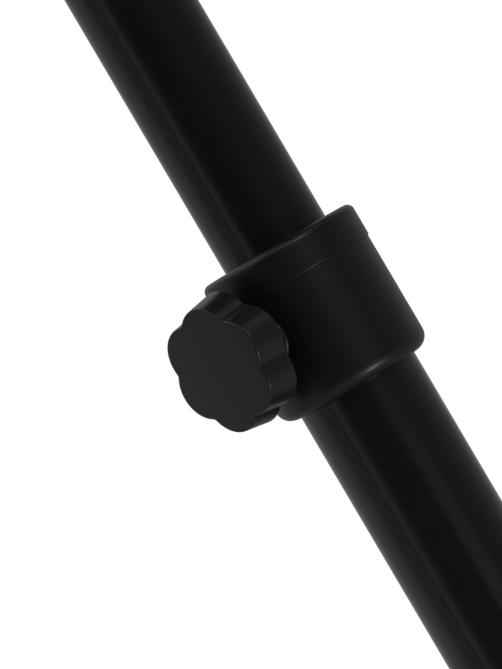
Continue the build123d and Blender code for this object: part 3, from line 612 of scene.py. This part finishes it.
def make_leg(n, azimuth):
    """A leg's tube, pressed flat at its upper end.

    At a distance z the section is the ellipse (w cos a, h sin a). h goes from the pressed half thickness
    to w by a smooth step, and the upper end is round, w = sqrt(r^2 - z^2).
    """
    t = np.linspace(0.02, math.pi / 2, 12)
    open_out = LEG_FLAT + LEG_BLEND
    z = np.concatenate([-LEG_R * np.cos(t), np.linspace(2.0 * MM, LEG_FLAT - 1.0 * MM, 6),
                        np.linspace(LEG_FLAT, open_out, 13),
                        [open_out + 1.0 * MM, LEG_END - 1.0 * MM, LEG_END]])
    w = np.where(z < 0, np.sqrt(np.maximum(LEG_R**2 - z**2, 0.0)), LEG_R)
    u = np.clip((z - LEG_FLAT) / LEG_BLEND, 0.0, 1.0)
    h = LEG_FLAT_HALF + (LEG_R - LEG_FLAT_HALF) * u * u * (3 - 2 * u)
    h = np.where(z < 0, LEG_FLAT_HALF * (w / LEG_R)**0.4, h)
    a = np.linspace(0, 2 * math.pi, 64, endpoint=False)[:, None]
    tube = np.stack([w * np.cos(a), h * np.sin(a), z + 0.0 * a], axis=-1)
    centre = np.zeros((len(a), 1, 3))
    first = centre + [0.0, 0.0, -LEG_R]
    last = centre + [0.0, 0.0, LEG_END]
    grid = np.concatenate([first, tube, last], axis=1)
    shape = Shape().add(grid, wrap_columns=False, place=leg_frame(n, azimuth))
    shape.make(f"leg_{n}_skin", f"leg_arm_{n}", "black_enamel", enamel, (f"leg_{n}",))


def make_foot(n, azimuth):
    """The rubber foot on a leg's lower end, turned about the leg's axis.

    Its side has grooves of the form depth exp(-((z - c) / width)^2), both its edges are quarter circles,
    and its sole is pressed flat: no point lies below z = 0.
    """
    steps = 96
    side = np.linspace(FOOT_START + FOOT_MOUTH, FOOT_TIP - FOOT_ROUND, 57)
    grooves = sum(np.exp(-((side - FOOT_START - c) / GROOVE_WIDTH)**2) for c in FOOT_GROOVES)
    t = np.linspace(0, math.pi / 2, ARC_STEPS + 1)
    radius = np.concatenate([[0.0, FOOT_BORE_R, FOOT_BORE_R], FOOT_R - FOOT_MOUTH * (1 - np.sin(t)),
                             FOOT_R - GROOVE_DEPTH * grooves, FOOT_R - FOOT_ROUND * (1 - np.cos(t)),
                             np.linspace(6.0 * MM, 0.0, 5)])
    height = np.concatenate([[LEG_END, LEG_END, FOOT_START], FOOT_START + FOOT_MOUTH * (1 - np.cos(t)),
                             side, FOOT_TIP - FOOT_ROUND * (1 - np.sin(t)), np.full(5, FOOT_TIP)])
    outline = np.column_stack([radius, height])
    points = placed(turned(outline, steps).reshape(-1, 3), leg_frame(n, azimuth))
    points[:, 2] = np.maximum(points[:, 2], 0.0)
    shape = Shape().add(points.reshape(steps, len(outline), 3), wrap_columns=False)
    shape.make(f"foot_{n}_rubber", f"leg_arm_{n}", "black_rubber", rubber, (f"foot_{n}",))


# ---- light and ground ------------------------------------------------------------------------
def make_world():
    """White to the camera; to everything else, tall pale panels standing round a dim room.

    The angle round Z from the camera's side sets each panel: it starts and ends softly or sharply.
    """
    world = bpy.data.worlds.new("studio")
    bpy.context.scene.world = world
    world.use_nodes = True
    tree = world.node_tree
    tree.nodes.clear()
    direction = add_node(tree, "ShaderNodeTexCoord").outputs["Generated"]
    a = math.radians(VIEW_AZIMUTH)
    to_camera = (math.sin(a), -math.cos(a), 0.0)
    to_left = (-math.cos(a), -math.sin(a), 0.0)

    def along(vector):
        node = add_node(tree, "ShaderNodeVectorMath", operation="DOT_PRODUCT", in_1=vector)
        link(tree, direction, node.inputs[0])
        return node.outputs["Value"]

    angle = math_node(tree, "ARCTAN2", along(to_left), along(to_camera))
    degrees = math_node(tree, "MULTIPLY", angle, 180.0 / math.pi)

    def panel(start, start_soft, end, end_soft, level):
        """A panel between two angles in degrees, each edge spread by its softness to both sides."""
        rise = mapped(tree, degrees, start - start_soft, start + start_soft, 0.0, level)
        fall = mapped(tree, degrees, end - end_soft, end + end_soft, 1.0, 0.0)
        return math_node(tree, "MULTIPLY", rise, fall)

    panels = [panel(45.0, 8.0, 52.0, 0.5, 0.14), panel(52.0, 0.5, 65.5, 0.5, 0.30),
              panel(67.5, 0.5, 181.0, 1.0, 0.22), panel(94.0, 6.0, 181.0, 1.0, 0.17),
              panel(-181.0, 1.0, -106.0, 46.0, 0.38), panel(-80.0, 45.0, -28.0, 26.0, 0.10)]
    total = ROOM_LEVEL
    for value in panels:
        total = math_node(tree, "ADD", value, total)
    split = add_node(tree, "ShaderNodeSeparateXYZ")
    link(tree, direction, split.inputs[0])
    low = mapped(tree, split.outputs[2], *LOW_FADE, 0.0, 1.0)
    low_panel = math_node(tree, "MULTIPLY", low, panel(-44.0, 8.0, -17.0, 6.0, 0.30))
    total = math_node(tree, "ADD", total, low_panel)
    overhead = mapped(tree, split.outputs[2], *CEILING_FADE, 0.0, CEILING_LEVEL)
    total = math_node(tree, "ADD", total, overhead)
    room = add_node(tree, "ShaderNodeBackground")
    link(tree, total, room.inputs["Strength"])
    white = add_node(tree, "ShaderNodeBackground", in_0=(1.0, 1.0, 1.0, 1.0), in_1=SURROUND_LEVEL)
    seen = add_node(tree, "ShaderNodeLightPath").outputs["Is Camera Ray"]
    mix = add_node(tree, "ShaderNodeMixShader")
    link(tree, seen, mix.inputs[0])
    link(tree, room.outputs[0], mix.inputs[1])
    link(tree, white.outputs[0], mix.inputs[2])
    link(tree, mix.outputs[0], add_node(tree, "ShaderNodeOutputWorld").inputs["Surface"])


def area_light(name, angle_left, elevation, distance, target, width, height, watts):
    """A softbox aimed at a target; its place is an angle to the camera's left and an elevation."""
    a = math.radians(VIEW_AZIMUTH - angle_left)
    e = math.radians(elevation)
    back = Vector((math.sin(a) * math.cos(e), -math.cos(a) * math.cos(e), math.sin(e)))
    light = bpy.data.lights.new(name, "AREA")
    light.shape = "RECTANGLE"
    light.size = width
    light.size_y = height
    light.energy = watts
    lamp = bpy.data.objects.new(name, light)
    lamp.location = Vector(target) + back * distance
    lamp.rotation_mode = "QUATERNION"
    lamp.rotation_quaternion = (-back).to_track_quat("-Z", "Y")
    lamp.visible_camera = False
    bpy.context.scene.collection.objects.link(lamp)
    return lamp


def make_floor():
    """A pale round floor that fades out into the white surround. In reflections it is painted dark grey:
    painted shade in what glossy surfaces reflect.
    """
    a = np.linspace(0, 2 * math.pi, 96, endpoint=False)[:, None]
    r = np.array([[0.0, 0.5, 1.0, 1.6, FLOOR_R]])
    grid = np.stack([r * np.cos(a), r * np.sin(a), np.zeros((len(a), r.shape[1]))], axis=-1)
    mesh = bpy.data.meshes.new("floor")
    mesh.from_pydata(grid.reshape(-1, 3), [], grid_faces(len(a), r.shape[1], True, False).tolist())
    edit = bmesh.new()
    edit.from_mesh(mesh)
    bmesh.ops.remove_doubles(edit, verts=edit.verts, dist=1e-7)
    edit.to_mesh(mesh)
    edit.free()
    material = bpy.data.materials.new("floor")
    material.use_nodes = True
    tree = material.node_tree
    shader = tree.nodes["Principled BSDF"]
    place = add_node(tree, "ShaderNodeTexCoord").outputs["Object"]
    length = add_node(tree, "ShaderNodeVectorMath", operation="LENGTH")
    link(tree, place, length.inputs[0])
    link(tree, mapped(tree, length.outputs["Value"], FLOOR_FADE_START, FLOOR_R - 0.1, 1.0, 0.0),
         shader.inputs["Alpha"])
    # painted shade in reflections: glossy rays see the floor dark grey, all other rays see it pale
    mirrored = add_node(tree, "ShaderNodeLightPath").outputs["Is Glossy Ray"]
    link(tree, mixed(tree, mirrored, (0.93, 0.93, 0.93), (0.22, 0.22, 0.22)), shader.inputs["Base Color"])
    shader.inputs["Roughness"].default_value = 0.7
    floor = bpy.data.objects.new("floor", mesh)
    mesh.materials.append(material)
    bpy.context.scene.collection.objects.link(floor)


def make_lights():
    """Two small softboxes aimed at the height clamp, and a large key light for the whole stand."""
    clamp = middle("clamp_collar")
    area_light("low_right", angle_left=-34.0, elevation=-42.0, distance=0.75, target=clamp,
               width=0.16, height=0.12, watts=0.75)
    area_light("high_right", angle_left=-31.0, elevation=25.0, distance=0.75, target=clamp,
               width=0.10, height=0.18, watts=0.45)
    area_light("key", angle_left=20.0, elevation=62.0, distance=2.6, target=(0, 0, 0.5),
               width=1.6, height=1.6, watts=60.0)


bpy.context.scene.view_settings.view_transform = "Standard"
make_camera()
make_world()
make_floor()
make_lights()
paint_frame()
make_tube("lower_tube", "root", LOWER_WALL)
make_tube("upper_tube", "upper_mast", UPPER_WALL)
make_clamp_collar()
make_collar_cap()
make_knobs()
for number, leg_azimuth in enumerate(LEG_AZIMUTHS, 1):
    make_leg(number, leg_azimuth)
    make_foot(number, leg_azimuth)
for name, owner, soft in SOFTENED:
    slot_name = slot_of[name]
    softened(name, name + "_soft", owner, FINISHES[slot_name], soft)
